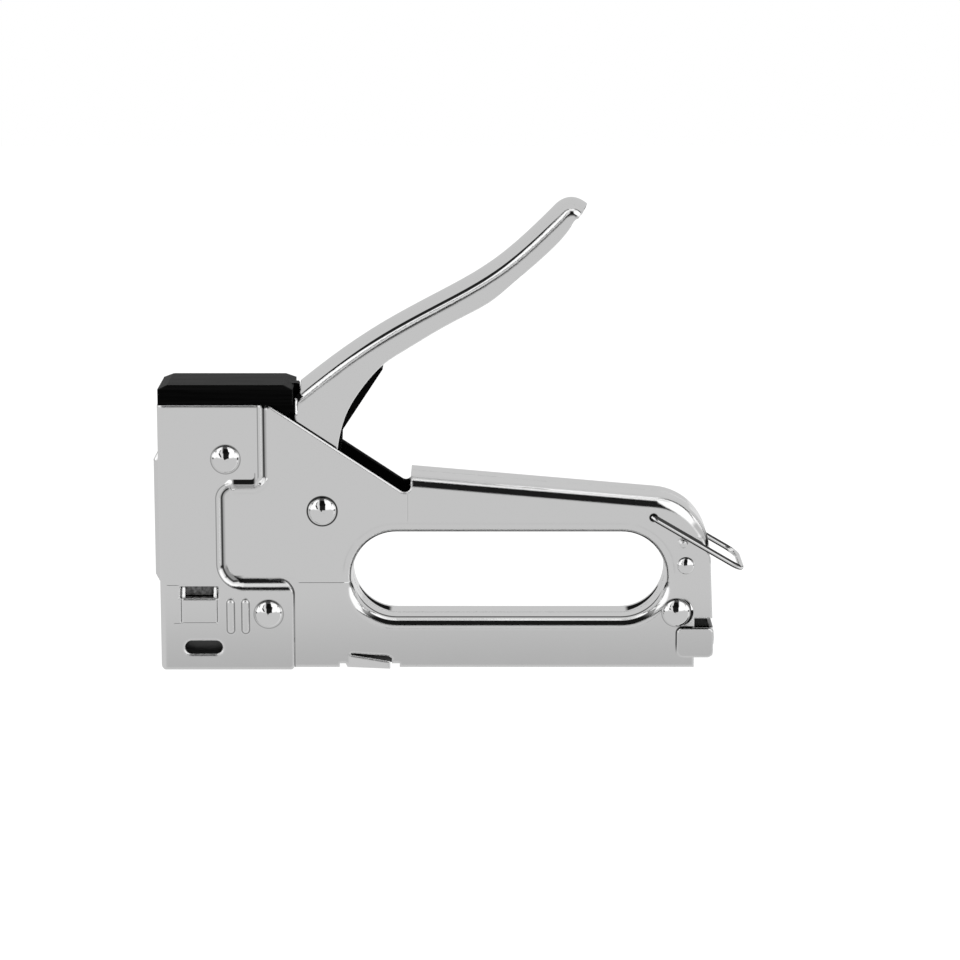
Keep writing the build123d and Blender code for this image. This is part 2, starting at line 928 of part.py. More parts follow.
cheek_face = make_face([lower_curve, cheek_line])
cheek_face &= outline(
    [
        (lever_front_x, 0),
        (cheek_rear_x, 0),
        (cheek_rear_x, far_above),
        (lever_front_x, far_above),
    ]
)
cheek_face += disc(pivot_at, lever_boss_radius)
for wall in side_prisms(cheek_face, lever_inner, lever_half):
    lever += wall
for wall in side_prisms(outline(hood_wall + lower_points[:3]), lever_inner, lever_half):
    lever += wall
lever -= cross_pin(pivot_at, bush_radius + running_fit, 2 * lever_half)
save(lever, "lever")

# Lever core: a yoke inside the lever, whose toe lifts the driver
toe_angle = math.radians(toe_rest_deg)
toe_at = (
    pivot_at[0] - toe_arm * math.cos(toe_angle),
    pivot_at[1] - toe_arm * math.sin(toe_angle),
)


def beside(at, amount):
    """Place a step across the toe arm from one of its ends."""
    return (at[0] - math.sin(toe_angle) * amount, at[1] + math.cos(toe_angle) * amount)


core_face = outline(
    [
        (pivot_at[0] - core_boss_radius + core_boss_trim, pivot_at[1]),
        (pivot_at[0] + core_boss_radius, pivot_at[1]),
        (core_web_low[0] - core_neck[0], core_web_low[1] - core_neck[1]),
        core_web_low,
        core_web_top,
        (core_web_top[0] - core_shoulder[0], core_web_top[1] + core_shoulder[1]),
        (lever_front_x + core_front_inset, core_front_z),
    ]
)
core_face += disc(pivot_at, core_boss_radius)
core_face += outline(
    [
        beside(pivot_at, toe_root_half),
        beside(toe_at, toe_end_half),
        beside(toe_at, -toe_end_half),
        beside(pivot_at, -toe_root_half),
    ]
)
core_face += disc(toe_at, toe_boss_radius)
web_run = (core_web_top[0] - core_web_low[0], core_web_top[1] - core_web_low[1])
web_length = math.hypot(*web_run)
inward = (-web_run[1] / web_length * core_sheet, web_run[0] / web_length * core_sheet)
web_face = outline(
    [
        core_web_low,
        core_web_top,
        (core_web_top[0] + inward[0], core_web_top[1] + inward[1]),
        (core_web_low[0] + inward[0], core_web_low[1] + inward[1]),
    ]
)
web_half = core_half - core_gap
core = prism(web_face, web_half, -web_half)
for wall in side_prisms(core_face, core_half - core_sheet, core_half):
    core += wall
core -= cross_pin(pivot_at, bush_radius + running_fit, 2 * core_half)
core -= cross_pin(toe_at, toe_pin_radius + press_fit, 2 * core_half)
save(core, "lever_core")
save(cross_pin(toe_at, toe_pin_radius, core_half), "toe_pin")
return_radius = bush_radius + return_gap + return_wire / 2
return_coil = coil(return_radius, return_wire, return_length, return_turns, return_legs)
return_coil = Pos(pivot_at[0], return_length / 2, pivot_at[1]) * Rot(90, 0, 0) * return_coil
save(return_coil, "lever_return_spring")

# Driver: carriage, blade and the pins that hold it, guide rod and main spring
carriage_front_x = blade_front_x + blade_thick
lug_low_z = toe_at[1] + toe_pin_radius + toe_gap
lug_high_z = lug_low_z + lift_lug_thick
carriage = block(
    carriage_front_x, carriage_rear_x, -carriage_half, carriage_half, carriage_low_z, lug_high_z
)
carriage += block(
    carriage_rear_x - lift_lug_root,
    lift_lug_rear_x,
    -lift_lug_half,
    lift_lug_half,
    lug_low_z,
    lug_high_z,
)
blade = block(
    blade_front_x,
    carriage_front_x,
    -blade_half,
    blade_half,
    blade_low_z,
    lug_high_z - blade_top_drop,
)
pin_z = carriage_low_z + blade_pin_rise
pin_rear_x = blade_front_x + blade_pin_depth
pins = []
for side in sides:
    pin_y = side * blade_half / 2
    hole = long_pin(blade_front_x - past, pin_rear_x, pin_y, pin_z, blade_pin_radius + press_fit)
    carriage -= hole
    blade -= hole
    pins.append(
        long_pin(
            blade_front_x + press_fit,
            pin_rear_x - blade_pin_slack,
            pin_y,
            pin_z,
            blade_pin_radius,
        )
    )
save(carriage, "driver_carriage")
save(blade, "driver_blade")
save(Compound(children=pins), "blade_rivets")
guide = Pos(spring_axis_x, 0, lug_high_z + guide_length / 2) * Cylinder(guide_radius, guide_length)
guide = chamfer(guide.faces().sort_by(Axis.Z)[-1].edges(), guide_bevel)
save(guide, "guide_rod")
main_length = seat_low_z - lug_high_z - 2 * spring_slack
main_coil = coil(main_coil_radius, main_wire, main_length, main_turns)
save(Pos(spring_axis_x, 0, lug_high_z + spring_slack) * main_coil, "main_spring")
seat_half = nose_half - sheet - seat_side_gap
seat_rear_x = spring_axis_x + seat_reach
seat = block(seat_front_x, seat_rear_x, -seat_half, seat_half, seat_low_z, seat_top_z)
save(seat, "spring_seat")
bumper_half = lance_shelf_half + bumper_overlap
bumper = block(
    carriage_front_x + bumper_gap,
    carriage_rear_x,
    -bumper_half,
    bumper_half,
    lance_fold_z + bumper_seat_gap,
    carriage_low_z - bumper_gap,
)
save(fillet(bumper.edges().filter_by(Axis.Z), bumper_corner), "driver_bumper")


# Magazine channel, fixed to the lower rivets
def upside_channel(x0, x1, half, wall, low_z, top_z):
    body = block(x0, x1, -half, half, low_z, top_z)
    return body - block(x0 - past, x1 + past, wall - half, half - wall, low_z - past, top_z - wall)


channel = upside_channel(
    channel_front_x,
    rear_cut_x - channel_rear_gap,
    channel_half,
    channel_sheet,
    channel_low_z,
    channel_top_z,
)
for at in (lower_rivet_at, rear_large_at):
    ear = outline(
        [
            (at[0] - channel_ear_half, channel_top_z - channel_ear_root),
            (at[0] + channel_ear_half, channel_top_z - channel_ear_root),
            (at[0] + channel_ear_half, at[1]),
            (at[0] - channel_ear_half, at[1]),
        ]
    )
    ear += disc(at, channel_ear_half)
    ear -= disc(at, spacer_radius + rivet_fit)
    for wall in side_prisms(ear, channel_half - channel_sheet, channel_half):
        channel += wall
save(channel, "magazine_channel")

# Sliding magazine: rail, end cap and rod
rail = upside_channel(
    channel_front_x + rail_end_gap,
    cap_plate_x - spring_slack,
    rail_half,
    channel_sheet,
    rail_low_z,
    rail_top_z,
)
rail -= block(
    pusher_front_x + rail_slot_front,
    pusher_front_x + pusher_travel + pusher_length,
    -rail_slot_half,
    rail_slot_half,
    rail_top_z - 2 * channel_sheet,
    rail_top_z + past,
)
save(rail, "staple_rail")
ear_face = outline(
    [
        (end_cap_front_x, end_cap_low_z),
        (end_cap_rear_x, end_cap_low_z),
        (end_cap_rear_x, end_cap_high_z),
        (end_cap_front_x, end_cap_high_z),
    ]
)
ear_face = fillet(ear_face.vertices(), end_cap_corner)
ear_in = body_half + end_cap_gap
end_cap = block(
    cap_plate_x,
    end_cap_rear_x,
    -ear_in - end_cap_root,
    ear_in + end_cap_root,
    end_cap_low_z + end_cap_corner,
    end_cap_high_z - end_cap_corner,
)
end_cap += block(
    cap_plate_x,
    end_cap_rear_x,
    sheet - body_half,
    body_half - sheet,
    end_cap_low_z,
    end_cap_high_z,
)
for wall in side_prisms(ear_face, ear_in, ear_in + sheet):
    end_cap += wall
end_cap -= long_pin(
    cap_plate_x - past, end_cap_rear_x + past, 0, rod_z, rod_radius + press_fit
)
save(end_cap, "end_cap")
rod = long_pin(pusher_front_x + rod_front, end_cap_rear_x, 0, rod_z, rod_radius)
rod += long_pin(end_cap_rear_x, end_cap_rear_x + rod_head_length, 0, rod_z, rod_head_radius)
save(rod, "pusher_rod")

# Pusher and its spring
pusher_rear_x = pusher_front_x + pusher_length
saddle_half = rail_half + slide_gap
saddle_z = rail_top_z + slide_gap
lug_x0 = pusher_front_x + lug_front
lug_x1 = lug_x0 + lug_length
pusher = block(
    pusher_front_x, pusher_rear_x, -pusher_half, pusher_half, pusher_low_z, pusher_top_z
)
pusher -= block(
    pusher_front_x - past, pusher_rear_x + past, -saddle_half, saddle_half, 0, saddle_z
)
pusher += block(lug_x0, lug_x1, -lug_half, lug_half, rod_z, saddle_z + slide_gap)
pusher += block(lug_x0, lug_x1, -lug_wide, lug_wide, rod_z - lug_wide, rod_z + lug_wide)
pusher -= long_pin(lug_x0 - past, lug_x1 + past, 0, rod_z, rod_radius + running_fit)
save(pusher, "pusher")
feed_length = cap_plate_x - lug_x1 - 2 * spring_slack
feed_coil = coil(pusher_coil_radius, pusher_wire, feed_length, pusher_turns)
save(Pos(lug_x1 + spring_slack, 0, rod_z) * Rot(0, 90, 0) * feed_coil, "pusher_spring")

# Wire bail, one bent wire whose ends hook into the shells
swing = math.radians(bail_rest_deg)
pivot_point = Vector(bail_pivot_at[0], 0, bail_pivot_at[1])
far_point = pivot_point + Vector(math.cos(swing), 0, math.sin(swing)) * bail_reach
leg_y = Vector(0, body_half + bail_side_gap + bail_wire_radius, 0)
hook_y = Vector(0, body_half - sheet - bail_end_depth, 0)
wire_points = [
    pivot_point - hook_y,
    pivot_point - leg_y,
    far_point - leg_y,
    far_point + leg_y,
    pivot_point + leg_y,
    pivot_point + hook_y,
]
wire_bends = [bail_hook_radius, bail_bend_radius, bail_bend_radius, bail_hook_radius]
wire_path = FilletPolyline(*wire_points, radius=wire_bends)
wire_start = Plane(wire_path @ 0, z_dir=wire_path % 0)
save(sweep(wire_start * Circle(bail_wire_radius), path=wire_path), "wire_bail")
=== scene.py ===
import bpy
import bmesh
import functools
import json
import math
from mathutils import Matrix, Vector


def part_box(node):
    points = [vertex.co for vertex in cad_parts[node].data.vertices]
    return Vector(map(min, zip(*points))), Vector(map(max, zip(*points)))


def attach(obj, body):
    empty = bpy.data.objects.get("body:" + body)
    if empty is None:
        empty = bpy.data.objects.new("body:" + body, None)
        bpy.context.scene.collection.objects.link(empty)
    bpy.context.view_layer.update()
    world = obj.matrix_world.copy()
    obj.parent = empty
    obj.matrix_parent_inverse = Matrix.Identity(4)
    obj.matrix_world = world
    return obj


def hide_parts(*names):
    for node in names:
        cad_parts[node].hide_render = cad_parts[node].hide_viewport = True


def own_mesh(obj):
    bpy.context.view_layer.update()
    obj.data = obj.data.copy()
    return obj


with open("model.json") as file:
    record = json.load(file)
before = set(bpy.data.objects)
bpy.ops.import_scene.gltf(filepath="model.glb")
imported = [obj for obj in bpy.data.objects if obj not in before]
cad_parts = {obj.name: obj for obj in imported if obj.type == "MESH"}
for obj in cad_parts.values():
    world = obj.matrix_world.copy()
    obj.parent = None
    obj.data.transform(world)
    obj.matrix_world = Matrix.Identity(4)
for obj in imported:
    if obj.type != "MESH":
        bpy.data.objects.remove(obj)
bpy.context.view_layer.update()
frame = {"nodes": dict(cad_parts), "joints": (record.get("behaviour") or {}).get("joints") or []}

# Shells: two half shells pressed from steel sheet and riveted together face to face.
# They are chromed outside, and painted dark inside as shade. Painted shade also sits in the pressed step of
# the nose, in the fold round the finger hole and in the seam round each rivet.
millimetre = 0.001


class Value:
    """One value on a surface. Arithmetic on it adds Math nodes to the same tree."""

    def __init__(self, tree, socket=None):
        self.tree = tree
        self.socket = socket

    def node(self, kind, settings=None, inputs=None, output=0):
        """Any other node: its type, its settings, then the values or links of its sockets."""
        made = self.tree.nodes.new(kind)
        for name, value in (settings or {}).items():
            setattr(made, name, value)
        for key, value in (inputs or {}).items():
            if isinstance(value, Value):
                self.tree.links.new(value.socket, made.inputs[key])
            else:
                made.inputs[key].default_value = value
        return Value(self.tree, made.outputs[output] if made.outputs else None)

    def maths(self, operation, first, second=0.0):
        return self.node("ShaderNodeMath", {"operation": operation}, {0: first, 1: second})

    def __add__(self, other):
        return self.maths("ADD", self, other)

    __radd__ = __add__

    def __mul__(self, other):
        return self.maths("MULTIPLY", self, other)

    __rmul__ = __mul__

    def __sub__(self, other):
        return self.maths("SUBTRACT", self, other)

    def __rsub__(self, other):
        return self.maths("SUBTRACT", other, self)

    def __truediv__(self, other):
        return self.maths("DIVIDE", self, other)

    def __neg__(self):
        return self.maths("MULTIPLY", self, -1.0)

    def __abs__(self):
        return self.maths("ABSOLUTE", self)

    def most(self, other):
        """The larger of this value and another."""
        return self.maths("MAXIMUM", self, other)

    def limited(self, low, high):
        """This value, held between two limits."""
        return self.maths("MINIMUM", self.most(low), high)

    def diagonal(self, other):
        """Length of the diagonal over this side and another."""
        return self.maths("SQRT", self * self + other * other)

    def angle(self, other):
        """The angle in degrees whose tangent is this value over another."""
        return self.maths("ARCTAN2", self, other) * math.degrees(1)

    def ease(self, low, high):
        """0 below low, 1 above high, and a smooth step between them."""
        return self.node(
            "ShaderNodeMapRange",
            {"interpolation_type": "SMOOTHSTEP"},
            {"Value": self, "From Min": low, "From Max": high},
        )

    def within(self, low, high, soft):
        """1 from low to high, falling to 0 over a soft border outside them."""
        return self.ease(low - soft, low) * (1 - self.ease(high, high + soft))

    def blend(self, other, share):
        """This value, with a share of it painted over by another."""
        return self * (1 - share) + other * share


def strongest(values):
    """The largest of several values at each point."""
    return functools.reduce(Value.most, values)


def new_material(name):
    """A material with an empty tree, and the Value that its other nodes start from."""
    material = bpy.data.materials.new(name)
    material.use_nodes = True
    material.node_tree.nodes.clear()
    return material, Value(material.node_tree)


def close_surface(start, shader):
    """Ends a material with its finished shader."""
    start.node("ShaderNodeOutputMaterial", inputs={"Surface": shader})


def finish_nodes(material, *names):
    """Puts a finish on the solids of these names."""
    for name in names:
        frame["nodes"][name].data.materials[0] = material


def object_place(start):
    return start.node("ShaderNodeTexCoord", output="Object")


def object_axes(start):
    """The point on the piece, whole and as its X, Y and Z in millimetres."""
    place = object_place(start)
    sockets = start.node("ShaderNodeSeparateXYZ", inputs={"Vector": place}).socket.node.outputs
    return place, *(Value(start.tree, sockets[axis]) / millimetre for axis in "XYZ")


def noise(start, place, scale, detail):
    return start.node("ShaderNodeTexNoise", inputs={"Vector": place, "Scale": scale, "Detail": detail})


def plain_grey(level):
    return (level, level, level, 1.0)


def grey(start, level):
    """A colour of one grey level, from a value that changes over the surface."""
    return start.node("ShaderNodeCombineColor", inputs={"Red": level, "Green": level, "Blue": level})


def plated_surface(start, place, tint, roughness, edge_radius, height=0.0):
    """A mirror finish whose sheet edges catch the light, with raised or sunk detail in millimetres."""
    edge_samples = 6
    haze_scale = 90.0
    haze_detail = 3.0
    haze_depth = 0.03
    rounded = start.node("ShaderNodeBevel", {"samples": edge_samples}, {"Radius": edge_radius * millimetre})
    relief = start.node(
        "ShaderNodeBump",
        inputs={"Strength": 1.0, "Distance": millimetre, "Height": height, "Normal": rounded},
    )
    return start.node(
        "ShaderNodeBsdfPrincipled",
        inputs={
            "Base Color": tint,
            "Metallic": 1.0,
            "Roughness": noise(start, place, haze_scale, haze_detail) * haze_depth + roughness,
            "Normal": relief,
        },
    )


def painted_shade_over(start, shader, share):
    """A surface with dull black painted over a share of it, as painted shade."""
    painted_black_level = 0.004
    painted_black = start.node("ShaderNodeBsdfDiffuse", inputs={"Color": plain_grey(painted_black_level)})
    return start.node("ShaderNodeMixShader", inputs={0: share, 1: shader, 2: painted_black})


def outer_corner(first, second, radius):
    """Distance from two sides that meet at a rounded outer corner."""
    return (first + radius).most(0.0).diagonal((second + radius).most(0.0)) - radius


def inner_corner(first, second, radius):
    """Distance from two sides that meet at a rounded inner corner."""
    return radius - (radius - first).most(0.0).diagonal((radius - second).most(0.0))


def edge_lines(offset, lines):
    """Lines along an edge: each has its two offsets from it, its soft border and its strength."""
    return strongest([offset.within(low, high, soft) * strength for low, high, soft, strength in lines])


chrome_level = 0.90
chrome_roughness = 0.035
shell_finish, start = new_material("shell_chrome_finish")
place, across, outward, up = object_axes(start)
off_middle = abs(outward)
# Marks of painted shade, gathered here and laid dark over the chrome at the end.
painted_shade = []

# Ranges are in millimetres: where a soft step starts and ends, or a low and a high end with a soft border.
# The inside, painted dark as shade, shows above the nose and behind the lever, and ends where the grip
# begins.
inside_span = (1.4, 72.0, 0.2)
inside_edge = (9.5, 9.6)
grip_start = (50.0, 52.0)
grip_top = (42.5, 43.5)
in_grip = across.ease(*grip_start) * (1 - up.ease(*grip_top))
inside = across.within(*inside_span) * (1 - in_grip) * (1 - off_middle.ease(*inside_edge))

# Rings of painted shade round the large rivets and in the bail's hole: the X and Z of the middle, radius,
# width and strength.
rivet_shade_rings = [
    (19.55, 62.3, 4.15, 0.35, 0.45),
    (31.4, 16.6, 4.15, 0.35, 0.4),
    (149.7, 16.6, 4.15, 0.3, 0.4),
    (47.1, 46.7, 4.15, 0.5, 0.95),
]
bail_shade_ring = (142.8, 44.8, 0.8, 0.6, 1.0)
for ring_x, ring_z, radius, width, strength in (*rivet_shade_rings, bail_shade_ring):
    reach = (across - ring_x).diagonal(up - ring_z)
    painted_shade.append((1 - reach.ease(radius + width / 2, radius + width)) * strength)

# Two short ribs beside the low rivet, with a thin line of painted shade round each.
rib_axes = (20.4, 24.7)
rib_middle_z = 15.875
rib_straight_half = 3.975
rib_line = (1.0, 1.2, 0.15)
rib_shade = 0.6
for rib_x in rib_axes:
    past_rib = (abs(up - rib_middle_z) - rib_straight_half).most(0.0)
    painted_shade.append((across - rib_x).diagonal(past_rib).within(*rib_line) * rib_shade)

# Pressed step of the nose: lines of painted shade at the foot and the top of its slope, weaker on its short
# level part.
step_rear_x = 31.2
step_level_z = 53.0
step_upper_round = 4.4
step_front_x = 18.9
step_inner_round = 2.4
step_low_z = 26.0
step_low_round = 5.5
step = outer_corner(across - step_rear_x, step_level_z - up, step_upper_round)
step = inner_corner(step, across - step_front_x, step_inner_round)
step = inner_corner(step, up - step_low_z, step_low_round)
foot_lines = ((-0.9, -0.5, 0.15, 0.95), (-0.8, -0.5, 0.9, 0.5), (-2.4, -2.25, 0.15, 0.5))
corner_line = (-0.5, 0.3, 0.4)
corner_shade = 0.75
corner_top = (29.5, 31.5)
corner_rear = (23.0, 25.0)
in_corner = (1 - up.ease(*corner_top)) * (1 - across.ease(*corner_rear))
foot = edge_lines(step, foot_lines).most(step.within(*corner_line) * in_corner * corner_shade)
low_run_top = (26.5, 29.0)
low_run_front = (22.0, 25.0)
foot = foot * up.ease(*low_run_top).most(1 - across.ease(*low_run_front))
level_span = (20.6, 30.4, 0.6)
level_rise = (51.0, 56.6, 0.5)
level_fade = 0.75
foot = foot * (1 - across.within(*level_span) * up.within(*level_rise) * level_fade)
back_lines = ((-3.3, -2.0, 0.2, 1.0), (-1.9, -0.8, 0.3, 0.4))
back_span = (22.0, 27.5, 0.8)
back_rise = (51.0, 58.0, 0.5)
step_back = edge_lines(step, back_lines) * across.within(*back_span) * up.within(*back_rise)
nose_rear = (38.0, 39.5)
nose_face = (9.6, 9.9)
on_nose = (1 - across.ease(*nose_rear)) * off_middle.ease(*nose_face)
painted_shade.append(on_nose * foot.most(step_back))

# Painted shadow on the shell round the front corner of the end cap.
cap_front_x = 149.9
cap_top_z = 12.2
cap_round = 1.7
cap_line = (-0.3, 0.25, 0.25)
cap_rise = (7.5, 13.0, 3.5)
cap_rear = (152.0, 156.0)
cap_shadow_strength = 0.9
cap_corner = outer_corner(cap_front_x - across, up - cap_top_z, cap_round)
cap_shadow = cap_corner.within(*cap_line) * up.within(*cap_rise) * (1 - across.ease(*cap_rear))
painted_shade.append(cap_shadow * cap_shadow_strength)

# Painted shadow as a dark edge down the rear of the nose, below the step.
heel_x = 38.6
heel_z = 26.5
heel_round = 4.5
heel_line = (0.05, 0.3, 0.15)
heel_front = (33.0, 35.0)
heel_top = (26.0, 27.5)
heel_fade = (16.0, 24.0)
heel_shadow = 0.55
heel_more = 0.35
heel = outer_corner(across - heel_x, up - heel_z, heel_round).within(*heel_line)
heel = heel * across.ease(*heel_front) * (1 - up.ease(*heel_top))
painted_shade.append(heel * (up.ease(*heel_fade) * heel_more + heel_shadow))

# Finger hole: painted shade as crescents on the flange at its low corners, a line and a band along the low
# fold, and a dark rim.
hole_middle_x = 101.1
hole_middle_z = 27.25
hole_straight_half = 32.65
past_straight = abs(across - hole_middle_x) - hole_straight_half
below = hole_middle_z - up
hole_reach = past_straight.most(0.0).diagonal(below)
hole_turn = below.angle(past_straight)
flange = (12.6, 13.6, 0.2)
on_flange = hole_reach.within(*flange)
crescent_turn = (32, 78, 6)
crescent_slope = 0.068
crescent_start = (0.0, 0.2)
crescent_near = (6.3, 6.8)
crescent_far = (6.0, 6.5)
crescent = on_flange * past_straight.ease(*crescent_start) * hole_turn.within(*crescent_turn)
crescent = crescent * (outward + hole_turn * crescent_slope).ease(*crescent_near)
painted_shade.append(crescent * (1 - outward.ease(*crescent_far)))
fold_line = (5.3, 6.5, 0.3)
fold_line_low = (4.0, 8.0)
fold_line_shade = 0.85
painted_shade.append(on_flange * (-outward).within(*fold_line) * below.ease(*fold_line_low) * fold_line_shade)
fold_low = (9.0, 12.5)
fold_band = (13.4, 14.35, 0.15)
fold_face = (8.6, 8.9)
low_fold = below.ease(*fold_low)
painted_shade.append(hole_reach.within(*fold_band) * off_middle.ease(*fold_face) * low_fold)
rim_line = (12.8, 13.5, 0.15)
rim_face = (8.4, 8.8)
rim_fade = (0.0, 6.0)
rim_shade = 0.8
upper_rim = hole_reach.within(*rim_line) * off_middle.ease(*rim_face) * (1 - below.ease(*rim_fade))
painted_shade.append(upper_rim * rim_shade)

# Painted shade on the bend at the rear end of the grip.
bend_x = 156.6
bend_z = 40.3
bend_run = (0.6, 0.8)
bend_shade_length = (-2.5, 2.5, 2.0)
bend_shade_width = (-0.3, 0.3, 0.9)
bend_shade_strength = 0.55
down_bend = (across - bend_x) * bend_run[0] - (up - bend_z) * bend_run[1]
off_bend = (across - bend_x) * bend_run[1] + (up - bend_z) * bend_run[0]
painted_shade.append(down_bend.within(*bend_shade_length) * off_bend.within(*bend_shade_width) * bend_shade_strength)

# Fine creases in the sheet, by their two ends. Upright ones get a little painted shade.
creases = [
    ((40.6, 25.6), (55.2, 25.6)),
    ((71.8, 44.2), (71.8, 52.4)),
    ((2.6, 25.2), (5.2, 25.2)),
    ((4.4, 13.9), (6.2, 13.9)),
    ((6.2, 14.1), (16.4, 14.1)),
]
crease_half = 0.16
crease_end = 0.8
crease_depth = 0.03
crease_shade = 0.2
crease_lines = []
for (x0, z0), (x1, z1) in creases:
    upright = x0 == x1
    soft_x, soft_z = (crease_half, crease_end) if upright else (crease_end, crease_half)
    crease_lines.append(across.within(x0, x1, soft_x) * up.within(z0, z1, soft_z))
    if upright:
        painted_shade.append(crease_lines[-1] * crease_shade)
relief = strongest(crease_lines) * -crease_depth

# The hole's low fold is turned a little further out above its dark band, and a little further in below it.
turn_start = 7.6
turn_width = 1.2
turn_slope = -0.76
turn_curve = 0.19
band_cross = (13.5, 14.3)
tuck_start = 14.4
tuck_width = 1.0
tuck_slope = 0.3
past_band = hole_reach.ease(*band_cross)
over_fold = (off_middle - turn_start).limited(0.0, turn_width)
under_fold = (hole_reach - tuck_start).limited(0.0, tuck_width)
fold_turn = (over_fold * turn_curve + turn_slope) * over_fold * (1 - past_band)
fold_turn = fold_turn + (tuck_width - under_fold) * past_band * tuck_slope
relief = relief + fold_turn * low_fold

# Sheens on the step's corners, slanted at 45 degrees: X, Z, half length, tilt up and tilt to the right.
sheens = [
    (20.3, 55.3, 0.5, 0.4, 0.4),
    (21.7, 53.8, 0.2, 0.9, 0.4),
    (30.1, 55.6, 0.9, 0.7, 0.3),
]
sheen_edge = (0.7, 0.8)
slanted = math.sqrt(0.5)
for sheen_x, sheen_z, half, tilt_up, tilt_right in sheens:
    past_end = (abs((across - sheen_x) + (up - sheen_z)) * slanted - half).most(0.0)
    beside = ((across - sheen_x) - (up - sheen_z)) * slanted
    spot = 1 - past_end.diagonal(beside).ease(*sheen_edge)
    relief = relief + spot * ((sheen_z - up) * tilt_up + (sheen_x - across) * tilt_right)

shell_edge = 1.0
inside_shade_paint = 0.985
painted_shade_depth = 0.99
chrome_tint = plain_grey(chrome_level)
chrome = plated_surface(start, place, chrome_tint, chrome_roughness, shell_edge, relief)
# Dark painted over the chrome: the inside as shade, and the painted shade of the lines and rings above.
painted_shade_share = (inside * inside_shade_paint).most(strongest(painted_shade) * painted_shade_depth)
close_surface(start, painted_shade_over(start, chrome, painted_shade_share))
finish_nodes(shell_finish, "left_shell", "right_shell")

# Window cheeks: bright turned edges at the sides of the square window low on each side of the nose.
# Each is a small closed plate, turned in and leaning back, in the same chromed steel as the front plate.
cheek_edges = ((6.3, 7.3), (16.4, 15.4))
cheek_low = 21.4
cheek_high = 24.7
cheek_out = 11.7
cheek_turn = 0.45
cheek_lean = 1.2
cheek_thick = 0.3


def closed_plates(name, plates):
    """Small closed plates in one piece, each given by the outlines of its two faces."""
    shape = bmesh.new()
    for outlines in plates:
        near, far = (
            [shape.verts.new(Vector(corner) * millimetre) for corner in outline] for outline in outlines
        )
        shape.faces.new(near)
        shape.faces.new(far)
        for corner in range(len(near)):
            shape.faces.new((near[corner - 1], near[corner], far[corner], far[corner - 1]))
    bmesh.ops.recalc_face_normals(shape, faces=shape.faces)
    mesh = bpy.data.meshes.new(name)
    shape.to_mesh(mesh)
    shape.free()
    piece = bpy.data.objects.new(name, mesh)
    bpy.context.collection.objects.link(piece)
    return piece


def cheek_outline(side, edge_x, free_x, out):
    """One face of a cheek, from its fixed edge to its free edge."""
    corners = (
        (edge_x, out, cheek_low),
        (free_x, out - cheek_turn, cheek_low),
        (free_x, out - cheek_turn - cheek_lean, cheek_high),
        (edge_x, out - cheek_lean, cheek_high),
    )
    return [(x, side * y, z) for x, y, z in corners]


window_cheeks = closed_plates(
    "window_cheeks",
    [
        [cheek_outline(side, *edges, out) for out in (cheek_out, cheek_out - cheek_thick)]
        for side in (-1, 1)
        for edges in cheek_edges
    ],
)
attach(window_cheeks, "body")

# Front plate: one strip of chromed steel that closes the nose between the two shells.
# It is held by the shells' turned edges and carries one long pressed rib.
plate_level = 0.88
plate_roughness = 0.05
plate_edge = 0.6
ripple_scale = 60.0
ripple_detail = 1.0
ripple_height = 0.002
plate_finish, start = new_material("front_plate_finish")
place = object_place(start)
ripple = noise(start, place, ripple_scale, ripple_detail) * ripple_height
plate_tint = plain_grey(plate_level)
close_surface(start, plated_surface(start, place, plate_tint, plate_roughness, plate_edge, ripple))
finish_nodes(plate_finish, "front_plate")
window_cheeks.data.materials.append(plate_finish)


# Driver group: seat, guide, carriage, blade and pins of hardened steel, dark from its oil.
# The carriage runs between the shells, and its blade is pinned to the front of it.
def stretched_noise(start, place, scale, detail):
    """Noise with its own scale along each axis."""
    stretched = start.node("ShaderNodeMapping", inputs={"Vector": place, "Scale": scale})
    return noise(start, stretched, 1.0, detail)


def worked_steel(name, colour, roughness, grain_scale, grain_depth):
    """Bare or oiled steel with fine marks of the tool that cut it."""
    stain_scale = 260.0
    stain_detail = 3.0
    stain_level = 0.75
    mark_detail = 4.0
    mark_strength = 0.4
    mark_gloss = 0.25
    material, start = new_material(name)
    place = object_place(start)
    marks = stretched_noise(start, place, grain_scale, mark_detail)
    stains = noise(start, place, stain_scale, stain_detail)
    stained = [part * stain_level for part in colour]
    shade = start.node(
        "ShaderNodeMix",
        {"data_type": "RGBA"},
        {"Factor": stains, "A": (*stained, 1.0), "B": (*colour, 1.0)},
        output="Result",
    )
    relief = start.node(
        "ShaderNodeBump",
        inputs={"Strength": mark_strength, "Distance": grain_depth * millimetre, "Height": marks},
    )
    shader = start.node(
        "ShaderNodeBsdfPrincipled",
        inputs={
            "Base Color": shade,
            "Metallic": 1.0,
            "Roughness": marks * mark_gloss + roughness,
            "Normal": relief,
        },
    )
    close_surface(start, shader)
    return material


dark_steel = worked_steel(
    "hardened_steel_finish",
    colour=(0.20, 0.20, 0.21),
    roughness=0.30,
    grain_scale=(300.0, 300.0, 2600.0),
    grain_depth=0.03,
)
finish_nodes(dark_steel, "driver_carriage", "driver_blade", "blade_rivets", "guide_rod", "spring_seat")


